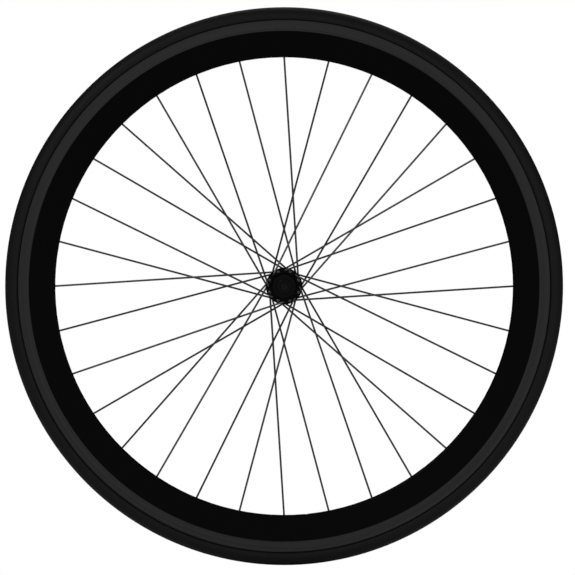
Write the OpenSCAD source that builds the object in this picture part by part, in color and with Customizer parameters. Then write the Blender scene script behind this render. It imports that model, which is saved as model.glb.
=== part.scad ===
// Front bicycle wheel: a deep-section rim with a narrow clincher tyre, 32 spokes laced three-cross
// to a low-flange hub that turns on caged balls about a solid, nutted axle.
// Millimetres. +Z is up, the axle lies along Y, and the origin is the wheel's centre. With +X forward,
// the -Y side is the wheel's right side and the +Y side its left.

/* [Rim] */
// Diameter of the seat that the tyre's beads sit on
bead_seat_d = 622; // [500:1:750]
// Width across the brake tracks
rim_w = 19.5; // [18:0.1:24]
// Height of the rim's edge above the bead seat
rim_edge_h = 7; // [6:0.1:8.5]
// Depth from the rim's edge to its nose
rim_depth = 44.7; // [36:0.1:60]
// Height of the brake track, from the rim's edge
brake_track_h = 13; // [11:0.1:15]
// How far the side walls step in below the brake track
track_step = 0.35; // [0.2:0.05:0.6]
// Half width of the nose where it meets the side walls
nose_half_w = 5; // [4.5:0.1:6.2]
// Thickness of the side walls
rim_wall_t = 1; // [0.8:0.1:1.3]
// Thickness of the brake track's wall
track_wall_t = 1.5; // [1.2:0.1:2]
// Thickness of the floor under the tyre
rim_bed_t = 1.3; // [1:0.1:1.6]
// Thickness of the nose, where the spokes pull
nose_t = 3; // [2.4:0.1:3.6]
// Depth of the well below the bead seat
well_depth = 2.5; // [2:0.1:3]
// Width of the well
well_w = 8.4; // [8.2:0.1:9.5]
// How far the hooks at the rim's edge reach in over the beads
hook_reach = 0.7; // [0.5:0.1:0.9]
// How much wider than a nipple the holes in the floor are, for its key
access_hole_clear = 1.9; // [1:0.1:2.2]
// How much wider than the valve's stem its holes are
valve_hole_clear = 0.6; // [0.3:0.1:1]

/* [Tyre and tube] */
// Width of the tyre, which also sets its height
tyre_w = 23; // [23:0.5:28]
// Thickness of the tread at its middle
tread_t = 2.4; // [2:0.1:3]
// Thickness of the sidewall
sidewall_t = 1.6; // [1.2:0.1:2]
// Width of each bead
bead_w = 3; // [2.6:0.1:3.1]
// Wall of the inner tube
tube_wall_t = 0.9; // [0.7:0.1:1.2]
// Space between the inflated tube and the tyre
tube_gap = 0.35; // [0.3:0.05:0.6]
// Thickness of the rim tape
rim_tape_t = 0.6; // [0.4:0.1:0.8]
// Outside diameter of the valve's stem
valve_stem_d = 6; // [5.6:0.1:6.1]
// Length of the valve's stem from the bead seat inwards
valve_stem_l = 32; // [24:1:34]

/* [Spokes] */
// Number of spokes
spoke_count = 32; // [28:4:36]
// How many times each spoke crosses others of its own flange
crosses = 3; // [3:1:3]
// Diameter of the spoke wire
spoke_d = 2.34; // [1.9:0.02:2.4]
// Diameter of a spoke's head
spoke_head_d = 4.2; // [3.8:0.1:4.4]
// Radius of the elbow, to the middle of the wire
elbow_r = 2.6; // [2.4:0.1:3.2]
// Length of a nipple
nipple_l = 11; // [9:0.5:12]
// Diameter of a nipple's seat flange
nipple_flange_d = 5.6; // [5.2:0.1:5.8]
// Width across a nipple's flats
nipple_flats = 4.8; // [4.4:0.1:4.8]

/* [Hub] */
// Distance over the locknuts, between the fork's dropouts
over_locknuts = 100; // [94:1:130]
// Distance between the middles of the two flanges
flange_spacing = 70; // [60:1:72]
// Diameter of the circle of spoke holes
hole_circle_d = 37; // [36:0.5:54]
// Distance from the circle of spoke holes to the flange's edge
flange_margin = 3.5; // [3:0.1:5]
// Thickness of a flange
flange_t = 3; // [2.6:0.1:3.4]
// How much wider than the wire the spoke holes in a flange are
flange_hole_clear = 0.46; // [0.2:0.02:0.6]
// Diameter of the hub's barrel at its waist
barrel_d = 23; // [21:0.5:26]
// Thickness of the hub shell round the dust caps
collar_wall_t = 1.6; // [1.2:0.1:2]
// Diameter of the axle
axle_d = 9; // [8:0.5:9.5]
// Space for a fork's dropout, between a locknut and its washer
dropout_gap = 6; // [4.5:0.5:8]
// Height of a locknut
locknut_h = 4.5; // [3.5:0.1:5]
// Width across the flats of the locknuts and the axle nuts
nut_flats = 15; // [14:1:17]
// Height of an axle nut
axle_nut_h = 8.4; // [7:0.2:10]

/* [Bearings] */
// Diameter of a bearing ball
ball_d = 4.7625; // [3.96875, 4.7625]
// Number of balls in each bearing
ball_count = 9; // [7:1:9]
// Diameter of the circle that the balls' centres run on
ball_circle_d = 16.8; // [16.8:0.1:17.2]
// Space between a ball and the races
race_gap = 0.07; // [0.03:0.01:0.1]

/* [Hidden] */
$fn = 72;
HEX = 6;
WIRE_SIDES = 12;
ELBOW_STEPS = 6;
fit_gap = 0.03;     // clearance of a threaded or pressed fit
lay_gap = 0.05;     // clearance of soft pieces where they lie on others
run_gap = 0.3;      // clearance of pieces that turn past each other

// Rim, by radius from the axle and distance from the wheel's middle plane
access_hole_d = nipple_flange_d + access_hole_clear;
valve_hole_d = valve_stem_d + valve_hole_clear;
bead_r = bead_seat_d / 2;
edge_r = bead_r + rim_edge_h;
nose_r = edge_r - rim_depth;
track_r = edge_r - brake_track_h;
well_r = bead_r - well_depth;
bed_r = well_r - rim_bed_t;
shelf_in = well_w / 2 + 0.8;
flange_in = rim_w / 2 - track_wall_t;
nose_inner_r = nose_r + nose_t;
nose_round = 3;
hook_h = 2.4;
hook_slope_h = 0.9;
hook_round = 0.8;
edge_round = 0.7;
cavity_half_w = nose_half_w - rim_wall_t - 0.6;

// Tyre: its outer round, its inner round and its neck between the hooks
tyre_h = tyre_w - 0.5;
tyre_r = bead_r + tyre_h;
tyre_round_r = tyre_w / 2;
tyre_mid_r = tyre_r - tyre_round_r;
tyre_in_round_r = tyre_round_r - sidewall_t;
tyre_in_mid_r = tyre_r - tread_t - tyre_in_round_r;
neck_out = flange_in - hook_reach - 0.1;
neck_in = neck_out - sidewall_t + 0.1;
bead_h = 3;
bead_out = flange_in - lay_gap;
bead_in = bead_out - bead_w;

// Inner tube, by the radius of its foot in the rim's well
tube_foot_r = well_r + rim_tape_t + 0.4;
tube_foot_half_w = well_w / 2 - 0.2;

// Valve, between the two parallel spokes nearest the bottom of the wheel
valve_angle = 90 - (spoke_count / 2 - 0.5) * 360 / spoke_count;
valve_tip_r = bead_r - valve_stem_l;
valve_bore_d = 2.6;

// Hub, by distance from the wheel's middle plane
flange_z = flange_spacing / 2;
flange_out = flange_z + flange_t / 2;
flange_inner = flange_z - flange_t / 2;
locknut_z = over_locknuts / 2;
hole_r = hole_circle_d / 2;
flange_d = hole_circle_d + 2 * flange_margin;
flange_hole_d = spoke_d + flange_hole_clear;
barrel_wall_t = 3;
waist_half_l = flange_inner - 14;
waist_curve_r = 12;
flange_ease = 0.6;
axle_chamfer = 0.8;

// Bearing, whose ball centres lie in the plane at ball_z
ball_r = ball_d / 2;
ball_circle_r = ball_circle_d / 2;
race_r = ball_r + race_gap;
ball_z = flange_out + 0.5;
cup_wall_t = 1.15;
cup_d = 2 * (ball_circle_r + race_r + cup_wall_t);
cup_back_z = ball_z - race_r - 1.45;
cup_front_z = ball_z + race_r + 0.85;
cup_hole_r = ball_circle_r - 0.8;
collar_z = cup_front_z + 1.2;
mouth_d = cup_d + 2.4;
collar_d = mouth_d + 2 * collar_wall_t;
flare_d = collar_d + 1.4;
collar_ease = 0.7;
cage_wall_in = ball_circle_r + 0.55;
cage_wall_out = ball_circle_r + 1.85;
cage_rim_t = 0.6;
cone_foot_z = ball_z - 1.8;
cone_body_r = ball_circle_r + 0.2;
cone_body_z = collar_z + 0.5;
cone_flats = axle_d + 4;
cone_flats_t = 2.3;
spacer_z = cone_body_z + cone_flats_t;
spacer_t = locknut_z - locknut_h - spacer_z;
fork_washer_z = locknut_z + dropout_gap;
fork_washer_t = 1.6;
axle_nut_z = fork_washer_z + fork_washer_t;
axle_end = axle_nut_z + axle_nut_h + 2;

// Lacing: a spoke's hub hole lies this angle round from its rim hole
hole_pitch = 720 / spoke_count;
lacing_angle = crosses * hole_pitch;
rim_hole_r = nose_r + nose_t / 2;
spoke_run = sqrt(hole_r ^ 2 + rim_hole_r ^ 2 - 2 * hole_r * rim_hole_r * cos(lacing_angle));
spoke_offset = hole_r * rim_hole_r * sin(lacing_angle) / spoke_run;
foot_angle = acos(spoke_offset / hole_r);
last_cross = hole_pitch * (2 * crosses - 1) / 2;
weave_run = spoke_offset * (tan(foot_angle + last_cross) - tan(foot_angle));
weave_z = flange_z * (1 - weave_run / spoke_run);
weave_gap = 0.2;   // space between two spokes where they cross last

// Spoke details, with its head as steps of distance beyond the neck and radius
neck_l = flange_t + 0.15;
spoke_head = [
    [1.6, spoke_head_d / 4], [1.35, spoke_head_d * 0.4], [1, spoke_head_d / 2], [0.6, spoke_head_d / 2],
    [0, spoke_d / 2]
];
rim_spoke_hole_d = spoke_d + 0.5;
seat_sink = 0.5;
seat_s = nose_t / 2 - seat_sink;
nipple_flange_t = 1.5;
spoke_end_s = seat_s + nipple_l - 2;

function rim_angle(i) = 90 - i * 360 / spoke_count;
function is_right(i) = i % 2 == 0;
function is_trailing(i) = i % 4 == 1 || i % 4 == 2;
function hub_angle(i) = rim_angle(i) + (is_trailing(i) ? lacing_angle : -lacing_angle);
function polar(r, a) = [r * cos(a), r * sin(a)];
function two_digits(n) = n < 10 ? str("0", n) : str(n);
function spoke_name(i) = str(is_right(i) ? "spoke_right_" : "spoke_left_", two_digits(floor(i / 2) + 1));

// Points of a round stretch, from angle a0 to a1
function arc(c, r, a0, a1, n = 6) = [for (k = [0 : n]) c + polar(r, a0 + (a1 - a0) * k / n)];

// A right-hand half outline and its mirror image, as one closed outline that runs anticlockwise.
// The half starts and ends on the middle line, at its far end from the last point.
function both_sides(half) = concat(
    [for (p = half) if (p[0] > 0) [-p[0], p[1]]],
    [for (k = [len(half) - 1 : -1 : 0]) half[k]]
);

// A spoke lies in one plane, with x along its run from the hub hole and z across the wheel.
// out is 1 for an elbow outside the flange and -1 for one inside it. Directions are angles in that plane.
function elbow_z(out) = flange_z + out * (flange_t / 2 + 0.1);
function elbow_centre(out) = [elbow_r, elbow_z(out)];
function weave_point(out) = [weave_run, weave_z - out * (spoke_d + weave_gap) / 2];
function elbow_to_weave(out) = weave_point(out) - elbow_centre(out);
function elbow_slope(out) =
    atan2(elbow_to_weave(out)[1], elbow_to_weave(out)[0]) - out * asin(elbow_r / norm(elbow_to_weave(out)));
function rim_slope(out) = atan2(-weave_point(out)[1], spoke_run - weave_run);

// Rings of the spoke's wire, each with its middle, its direction and its radius
function head_ring(out, back, r) = [[0, elbow_z(out) - out * back], 90 * out, r];
function elbow_ring(out, direction) =
    [elbow_centre(out) + polar(elbow_r, direction + 90 * out), direction, spoke_d / 2];
function spoke_rings(out) = concat(
    [for (step = spoke_head) head_ring(out, neck_l + step[0], step[1])],
    [for (k = [0 : ELBOW_STEPS]) elbow_ring(out, 90 * out + (elbow_slope(out) - 90 * out) * k / ELBOW_STEPS)],
    [[weave_point(out), (elbow_slope(out) + rim_slope(out)) / 2, spoke_d / 2]],
    [[[spoke_run, 0] + polar(spoke_end_s, rim_slope(out)), rim_slope(out), spoke_d / 2]]
);

// Pieces are drawn as seen from the right: x forward, y up and z towards the viewer
module to_row_frame() { rotate([90, 0, 0]) children(); }

// Turns a piece drawn on the right end of the hub to the end that is asked for
module at_end(side) { to_row_frame() rotate([side == "left" ? 180 : 0, 0, 0]) children(); }

// A ring whose section is drawn with x across the wheel and y outwards
module wheel_ring() { rotate_extrude() rotate(-90) children(); }

// Puts a piece at a spoke's place: the origin at its hub hole, x along its run, z outwards
module along_spoke(i) {
    hub = polar(hole_r, hub_angle(i));
    run = polar(rim_hole_r, rim_angle(i)) - hub;
    translate([hub[0], hub[1], 0])
        rotate([0, 0, atan2(run[1], run[0])])
            rotate([is_right(i) ? 0 : 180, 0, 0])
                children();
}

// Puts a piece where spoke i passes through the nose, with z along the wire and outwards from the hub
module at_rim_hole(i) {
    along_spoke(i)
        translate([spoke_run, 0, 0])
            rotate([0, 90 - rim_slope(is_trailing(i) ? 1 : -1), 0])
                children();
}

module tube_ring(outer_d, inner_d, z0, z1) {
    translate([0, 0, z0])
        difference() {
            cylinder(d = outer_d, h = z1 - z0);
            translate([0, 0, -1]) cylinder(d = inner_d, h = z1 - z0 + 2);
        }
}

// A hexagon prism from z0 to z1, with its corners turned off at both ends
module hex_prism(flats, z0, z1) {
    corner_r = flats / 2 / cos(30);
    drop = (corner_r - flats / 2) * tan(30);
    intersection() {
        translate([0, 0, z0]) cylinder(r = corner_r, h = z1 - z0, $fn = HEX);
        rotate_extrude()
            polygon([[0, z0], [flats / 2, z0], [corner_r + 0.1, z0 + drop], [corner_r + 0.1, z1 - drop],
                     [flats / 2, z1], [0, z1]]);
    }
}

// ---- Rim, tape, tyre and tube ----

module rim_section() {
    half_w = rim_w / 2;
    wall_out = half_w - track_step;
    slope = atan2(wall_out - nose_half_w, track_r - nose_r - nose_round);
    corner = [nose_half_w - nose_round, nose_r + nose_round];
    polygon(both_sides(concat(
        [[0, well_r], [well_w / 2, well_r], [shelf_in, bead_r], [flange_in, bead_r]],
        [[flange_in, edge_r - hook_h - hook_slope_h], [flange_in - hook_reach, edge_r - hook_h]],
        arc([flange_in - hook_reach + hook_round, edge_r - hook_round], hook_round, 180, 90, 4),
        arc([half_w - edge_round, edge_r - edge_round], edge_round, 90, 0, 4),
        [[half_w, track_r], [wall_out, track_r]],
        arc(corner, nose_round, -slope, -90, 8),
        [[0, nose_r]]
    )));
}

module rim_cavity_section() {
    ease = 0.5;
    polygon(both_sides([
        [0, bed_r], [well_w / 2 + ease, bed_r], [shelf_in + ease, bead_r - rim_bed_t],
        [flange_in - ease, bead_r - rim_bed_t], [flange_in, bead_r - rim_bed_t - ease],
        [flange_in, track_r + ease], [rim_w / 2 - track_step - rim_wall_t, track_r - 2 * ease],
        [nose_half_w - rim_wall_t + 0.15, nose_inner_r + 2.2], [cavity_half_w, nose_inner_r],
        [0, nose_inner_r]
    ]));
}

module spoke_hole_cuts(i) {
    at_rim_hole(i) {
        translate([0, 0, -3 * nose_t]) cylinder(d = rim_spoke_hole_d, h = 6 * nose_t);
        translate([0, 0, seat_s]) cylinder(d = nipple_flange_d + 0.3, h = 2 * seat_sink + 1);
    }
    rotate([0, 0, rim_angle(i)])
        translate([bed_r - 1, 0, 0])
            rotate([0, 90, 0]) cylinder(d = access_hole_d, h = rim_bed_t + well_depth + 2);
}

module radial_hole(angle, d, r0, r1) {
    rotate([0, 0, angle]) translate([r0, 0, 0]) rotate([0, 90, 0]) cylinder(d = d, h = r1 - r0);
}

module rim() {
    color([0.03, 0.03, 0.03]) to_row_frame()
        difference() {
            wheel_ring()
                difference() {
                    rim_section();
                    rim_cavity_section();
                }
            for (i = [0 : spoke_count - 1]) spoke_hole_cuts(i);
            radial_hole(valve_angle, valve_hole_d, nose_r - 5, bead_r);
        }
}

module rim_tape() {
    tape_half_w = well_w / 2 - lay_gap;
    color([0.15, 0.2, 0.35]) to_row_frame()
        difference() {
            wheel_ring()
                translate([-tape_half_w, well_r + lay_gap]) square([2 * tape_half_w, rim_tape_t]);
            radial_hole(valve_angle, valve_hole_d, well_r - 1, bead_r);
        }
}

// The upper half of a circle about a point on the wheel's middle plane
module half_disc(mid_r, r) {
    intersection() {
        translate([0, mid_r]) circle(r = r);
        translate([-r - 1, mid_r]) square([2 * r + 2, r + 1]);
    }
}

// The space inside the tyre, taken in by inset, down to a foot between the beads
module tyre_inside(inset, foot_r, foot_half_w) {
    half_disc(tyre_in_mid_r, tyre_in_round_r - inset);
    polygon(both_sides([
        [0, tyre_in_mid_r], [tyre_in_round_r - inset, tyre_in_mid_r],
        [neck_in - inset, edge_r + 0.9 + inset / 2],
        [neck_in - inset, bead_r + bead_h + 0.8], [bead_in - inset, bead_r + bead_h - 0.4],
        [bead_in - inset, bead_r + 0.3], [foot_half_w, foot_r], [0, foot_r]
    ]));
}

module tyre_section() {
    side_r = tyre_mid_r - edge_r - 0.3;
    difference() {
        union() {
            half_disc(tyre_mid_r, tyre_round_r);
            polygon(both_sides(concat(
                [[0, tyre_mid_r]],
                arc([tyre_round_r - side_r, tyre_mid_r], side_r, 0, -90, 8),
                [[neck_out, edge_r - 0.4], [neck_out, bead_r + bead_h + 0.6], [bead_out, bead_r + bead_h]],
                [[bead_out, bead_r + lay_gap], [0, bead_r + lay_gap]]
            )));
        }
        tyre_inside(0, bead_r - 1, bead_in);
    }
}

module tyre() {
    color([0.094, 0.094, 0.094]) to_row_frame() wheel_ring() tyre_section();
}

module inner_tube() {
    color([0.2, 0.2, 0.2]) to_row_frame()
        difference() {
            wheel_ring()
                difference() {
                    tyre_inside(tube_gap, tube_foot_r, tube_foot_half_w);
                    tyre_inside(
                        tube_gap + tube_wall_t, tube_foot_r + tube_wall_t, tube_foot_half_w - tube_wall_t
                    );
                }
            radial_hole(valve_angle, valve_stem_d + 2 * fit_gap, tube_foot_r - 1, tube_foot_r + 3);
        }
}

// Draws a turned piece on the valve's line, with z outwards from the hub and measured as a radius
module on_valve_line() { rotate([0, 0, valve_angle]) rotate([0, 90, 0]) children(); }

module valve_stem() {
    thread_drop = 0.8;
    tip_l = 5;
    foot_r = tube_foot_r + tube_wall_t + lay_gap;
    foot_d = 2 * (tube_foot_half_w - tube_wall_t - lay_gap);
    color("gold") to_row_frame() on_valve_line()
        difference() {
            union() {
                translate([0, 0, valve_tip_r + tip_l])
                    cylinder(d = valve_stem_d, h = foot_r - valve_tip_r - tip_l);
                translate([0, 0, valve_tip_r]) cylinder(d = valve_stem_d - thread_drop, h = tip_l + 1);
                translate([0, 0, foot_r]) cylinder(d = foot_d, h = 1);
            }
            translate([0, 0, valve_tip_r - 1]) cylinder(d = valve_bore_d, h = valve_stem_l + 10);
        }
}

// The valve's pin with the small knurled nut that locks it shut
module valve_core() {
    pin_d = 1.5;
    nut_d = 4;
    nut_h = 2.4;
    pin_end = 1;
    pin_l = 16;
    plug_depth = 4;
    plug_l = 5;
    color("gold") to_row_frame() on_valve_line() {
        translate([0, 0, valve_tip_r - nut_h - pin_end]) cylinder(d = pin_d, h = pin_l);
        translate([0, 0, valve_tip_r - nut_h]) cylinder(d = nut_d, h = nut_h - lay_gap);
        translate([0, 0, valve_tip_r + plug_depth]) cylinder(d = valve_bore_d - 2 * fit_gap, h = plug_l);
    }
}

// ---- Spokes and nipples ----

// One point of a ring, at angle a round the wire
function ring_point(ring, a) = [
    ring[0][0] - ring[2] * cos(a) * sin(ring[1]),
    ring[2] * sin(a),
    ring[0][1] + ring[2] * cos(a) * cos(ring[1])
];

// A bar swept through rings
module swept_bar(rings) {
    n = WIRE_SIDES;
    last = len(rings) - 1;
    polyhedron(
        points = [for (ring = rings) for (k = [0 : n - 1]) ring_point(ring, k * 360 / n)],
        faces = concat(
            [for (j = [0 : last - 1]) for (k = [0 : n - 1])
                [j * n + k, (j + 1) * n + k, (j + 1) * n + (k + 1) % n, j * n + (k + 1) % n]],
            [[for (k = [0 : n - 1]) k], [for (k = [n - 1 : -1 : 0]) last * n + k]]
        )
    );
}

module spoke(i) {
    color([0.05, 0.05, 0.05]) to_row_frame() along_spoke(i) swept_bar(spoke_rings(is_trailing(i) ? 1 : -1));
}

module nipple() {
    bore_d = spoke_d + 2 * fit_gap;
    difference() {
        union() {
            cylinder(d = nipple_flange_d, h = nipple_flange_t);
            translate([0, 0, nipple_flange_t - 0.5])
                cylinder(r = nipple_flats / 2 / cos(30), h = nipple_l - nipple_flange_t + 0.5, $fn = HEX);
        }
        translate([0, 0, -1]) cylinder(d = bore_d, h = nipple_l + 2);
    }
}

module spoke_nipples() {
    color("gold") to_row_frame()
        for (i = [0 : spoke_count - 1]) at_rim_hole(i) translate([0, 0, seat_s + fit_gap]) nipple();
}

// ---- Hub ----

// Half of the shell's outline, from the waist out to one end; x is the radius and y runs along the axle
function shell_outer() = concat(
    [[barrel_d / 2, 0], [barrel_d / 2, waist_half_l]],
    arc([barrel_d / 2 + waist_curve_r, waist_half_l], waist_curve_r, 180, 135, 5),
    [[flare_d / 2, flange_inner - 2 * flange_ease], [flare_d / 2 + 2 * flange_ease, flange_inner]],
    [[flange_d / 2 - flange_ease, flange_inner], [flange_d / 2, flange_inner + flange_ease]],
    [[flange_d / 2, flange_out - flange_ease], [flange_d / 2 - flange_ease, flange_out]],
    [[collar_d / 2 + flange_ease, flange_out], [collar_d / 2, flange_out + flange_ease]],
    [[collar_d / 2, collar_z - collar_ease], [collar_d / 2 - collar_ease, collar_z]]
);

function shell_bore() = [
    [mouth_d / 2, collar_z], [mouth_d / 2, cup_front_z], [cup_d / 2, cup_front_z], [cup_d / 2, cup_back_z],
    [barrel_d / 2 - barrel_wall_t, cup_back_z - 1.5], [barrel_d / 2 - barrel_wall_t, 0]
];

module shell_half() {
    rotate_extrude() polygon(concat(shell_outer(), shell_bore()));
}

// A spoke hole, with its edges eased on both faces of the flange
module flange_hole() {
    ease = 0.35;
    outside = 0.3;
    hole = flange_hole_d / 2;
    mouth = hole + ease + outside;
    rotate_extrude()
        polygon([
            [0, -flange_t], [mouth, -flange_t], [mouth, -flange_t / 2 - outside],
            [hole, -flange_t / 2 + ease], [hole, flange_t / 2 - ease],
            [mouth, flange_t / 2 + outside], [mouth, flange_t], [0, flange_t]
        ]);
}

module hub_shell() {
    color([0.03, 0.03, 0.03]) to_row_frame()
        difference() {
            union() {
                shell_half();
                rotate([180, 0, 0]) shell_half();
            }
            for (i = [0 : spoke_count - 1])
                rotate([0, 0, hub_angle(i)])
                    translate([hole_r, 0, is_right(i) ? flange_z : -flange_z]) flange_hole();
        }
}

module bearing_cup(side) {
    color("silver") at_end(side)
        rotate_extrude()
            difference() {
                polygon([
                    [cup_hole_r, cup_back_z], [cup_d / 2 - fit_gap, cup_back_z],
                    [cup_d / 2 - fit_gap, cup_front_z], [ball_circle_r + race_r, cup_front_z],
                    [ball_circle_r + race_r, ball_z], [cup_hole_r, ball_z]
                ]);
                translate([ball_circle_r, ball_z]) circle(r = race_r);
                translate([0, ball_z - 0.001]) square([ball_circle_r + race_r, 1]);
            }
}

module dust_cap(side) {
    color([0.12, 0.12, 0.12]) at_end(side)
        tube_ring(mouth_d - 2 * fit_gap, 2 * (cone_body_r + run_gap), cup_front_z + lay_gap, collar_z - 0.15);
}

module each_ball_place() {
    for (k = [0 : ball_count - 1])
        rotate([0, 0, k * 360 / ball_count]) translate([ball_circle_r, 0, ball_z]) children();
}

module bearing_balls(side) { color("silver") at_end(side) each_ball_place() sphere(d = ball_d); }

// A thin ring outside the balls' circle, with a round pocket for each ball
module ball_cage(side) {
    color("goldenrod") at_end(side)
        difference() {
            tube_ring(2 * cage_wall_out, 2 * cage_wall_in, ball_z - 0.8, ball_z + ball_r + 0.12 + cage_rim_t);
            each_ball_place() sphere(r = ball_r + 0.12);
        }
}

module cone(side) {
    bore_r = axle_d / 2 + fit_gap;
    foot_r = ball_circle_r - race_r;
    color("silver") at_end(side) {
        rotate_extrude()
            difference() {
                polygon([
                    [bore_r, cone_foot_z], [foot_r, cone_foot_z], [foot_r, ball_z], [cone_body_r, ball_z],
                    [cone_body_r, cone_body_z], [bore_r, cone_body_z]
                ]);
                translate([ball_circle_r, ball_z]) circle(r = race_r);
            }
        intersection() {
            tube_ring(cone_flats + 3, 2 * bore_r, cone_body_z - 0.5, spacer_z);
            translate([-cone_flats / 2, -cone_flats, 0]) cube([cone_flats, 2 * cone_flats, spacer_z + 1]);
        }
    }
}

module spacer_washer(side) {
    color("silver") at_end(side)
        tube_ring(nut_flats + 2, axle_d + 2 * fit_gap, spacer_z + fit_gap, spacer_z + spacer_t);
}

module locknut(side) {
    color([0.1, 0.1, 0.1]) at_end(side)
        difference() {
            hex_prism(nut_flats, spacer_z + spacer_t + fit_gap, locknut_z);
            cylinder(d = axle_d + 2 * fit_gap, h = locknut_z + 1);
        }
}

module fork_washer(side) {
    color([0.15, 0.15, 0.15]) at_end(side)
        tube_ring(nut_flats + 4, axle_d + 0.4, fork_washer_z, fork_washer_z + fork_washer_t - fit_gap);
}

module axle_nut(side) {
    flange_h = 1.4;
    color([0.1, 0.1, 0.1]) at_end(side)
        difference() {
            union() {
                translate([0, 0, axle_nut_z]) cylinder(d = nut_flats + 3.4, h = flange_h);
                hex_prism(nut_flats, axle_nut_z + 0.2, axle_nut_z + axle_nut_h);
            }
            cylinder(d = axle_d + 2 * fit_gap, h = axle_end);
        }
}

module axle() {
    color([0.2, 0.2, 0.2]) to_row_frame()
        rotate_extrude()
            polygon([
                [0, -axle_end], [axle_d / 2 - axle_chamfer, -axle_end], [axle_d / 2, -axle_end + axle_chamfer],
                [axle_d / 2, axle_end - axle_chamfer], [axle_d / 2 - axle_chamfer, axle_end], [0, axle_end]
            ]);
}

tyre();
inner_tube();
valve_stem();
valve_core();
rim_tape();
rim();
spoke_nipples();
hub_shell();
axle();
for (i = [0 : spoke_count - 1]) spoke(i);
for (side = ["right", "left"]) {
    bearing_cup(side);
    dust_cap(side);
    bearing_balls(side);
    ball_cage(side);
    cone(side);
    spacer_washer(side);
    locknut(side);
    fork_washer(side);
    axle_nut(side);
}
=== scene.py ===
# %% [markdown]
# # The finish of a bicycle wheel
# The wheel comes in from its construction model already at its real size and place: tyre, rim, spokes, hub
# and axle are separate pieces. This lesson gives each of them its surface, and remakes the few pieces whose
# looks depend on a finer shape than the construction needs: the round wire of the spokes, the moulded skin
# of the tyre and the threads of the axle.
#
# Everything is in metres. The axle lies along Y, Z is up, and the origin is the wheel's centre.

# %% Load the frame
import math

import bpy
from mathutils import Matrix, Vector


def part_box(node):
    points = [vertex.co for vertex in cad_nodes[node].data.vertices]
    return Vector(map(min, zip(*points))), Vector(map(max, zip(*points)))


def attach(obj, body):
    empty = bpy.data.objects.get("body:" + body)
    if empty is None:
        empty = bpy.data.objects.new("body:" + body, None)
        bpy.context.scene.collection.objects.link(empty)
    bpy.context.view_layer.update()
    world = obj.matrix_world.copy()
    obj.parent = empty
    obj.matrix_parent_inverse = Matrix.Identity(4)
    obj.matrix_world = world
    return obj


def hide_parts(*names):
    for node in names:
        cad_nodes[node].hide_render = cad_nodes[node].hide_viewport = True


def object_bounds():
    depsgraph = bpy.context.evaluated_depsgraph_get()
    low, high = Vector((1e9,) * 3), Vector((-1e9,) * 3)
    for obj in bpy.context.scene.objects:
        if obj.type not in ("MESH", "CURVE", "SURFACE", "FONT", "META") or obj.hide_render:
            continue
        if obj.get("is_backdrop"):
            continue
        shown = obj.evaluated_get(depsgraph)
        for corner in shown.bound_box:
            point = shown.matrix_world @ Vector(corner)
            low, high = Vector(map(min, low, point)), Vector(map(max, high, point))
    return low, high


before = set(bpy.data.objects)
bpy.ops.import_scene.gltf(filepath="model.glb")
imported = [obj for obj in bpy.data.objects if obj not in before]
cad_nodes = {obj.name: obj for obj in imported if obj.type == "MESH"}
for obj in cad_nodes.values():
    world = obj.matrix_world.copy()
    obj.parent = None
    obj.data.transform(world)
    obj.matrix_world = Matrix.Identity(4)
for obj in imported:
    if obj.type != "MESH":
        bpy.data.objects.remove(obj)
cad_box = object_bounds()
print("the wheel measures", [round(hi - lo, 4) for lo, hi in zip(*cad_box)], "m")

# %% [markdown]
# ## Sizes that the finish depends on
# A finish changes where the shape changes: a rim is lacquered, but its brake track is bare. So the first
# step is to read the radii and widths where those changes happen. They could be typed in again, but a size
# that is read from the frame can't disagree with it.

# %% Read the main sizes
MM = 0.001
tyre_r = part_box("tyre")[1].z
tyre_half_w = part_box("tyre")[1].y
rim_edge_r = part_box("rim")[1].z
rim_half_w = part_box("rim")[1].y
flange_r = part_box("hub_shell")[1].z
axle_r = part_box("axle")[1].z
axle_half_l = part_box("axle")[1].y
TRACK_H = 13 * MM
track_r = rim_edge_r - TRACK_H
print(f"tyre radius {tyre_r:.4f}, rim edge {rim_edge_r:.4f}, brake track from {track_r:.4f}")
print(f"hub flange radius {flange_r:.4f}, axle radius {axle_r:.4f}")

# %% [markdown]
# ## Helpers for materials
# A material is a small graph of nodes. Writing each node and wire out in full hides what the graph says, so
# these helpers make a node in one line and join it by its sockets' names.

# %% Node helpers
def add_node(tree, kind, x=0, y=0, **values):
    node = tree.nodes.new(kind)
    node.location = (x, y)
    for name, value in values.items():
        if name in node.inputs:
            node.inputs[name].default_value = value
        else:
            setattr(node, name, value)
    return node


def join(tree, source, target):
    tree.links.new(source, target)


def math_node(tree, operation, a, b=None, clamp=False):
    node = tree.nodes.new("ShaderNodeMath")
    node.operation = operation
    node.use_clamp = clamp
    for socket, value in zip(node.inputs, (a, b)):
        if isinstance(value, bpy.types.NodeSocket):
            tree.links.new(value, socket)
        elif value is not None:
            socket.default_value = value
    return node.outputs[0]


def between(tree, value, low, high, soft):
    """1 where value lies between low and high, fading over soft at each end."""
    rising = math_node(tree, "DIVIDE", math_node(tree, "SUBTRACT", value, low), soft, clamp=True)
    falling = math_node(tree, "DIVIDE", math_node(tree, "SUBTRACT", high, value), soft, clamp=True)
    return math_node(tree, "MULTIPLY", rising, falling)


def new_group(name, inputs, outputs):
    group = bpy.data.node_groups.new(name, "ShaderNodeTree")
    for label, kind, value in inputs:
        socket = group.interface.new_socket(name=label, in_out="INPUT", socket_type=kind)
        if value is not None:
            socket.default_value = value
    for label, kind in outputs:
        group.interface.new_socket(name=label, in_out="OUTPUT", socket_type=kind)
    return group, group.nodes.new("NodeGroupInput"), group.nodes.new("NodeGroupOutput")


FLOAT = "NodeSocketFloat"
VECTOR = "NodeSocketVector"
print("node helpers ready")

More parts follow.
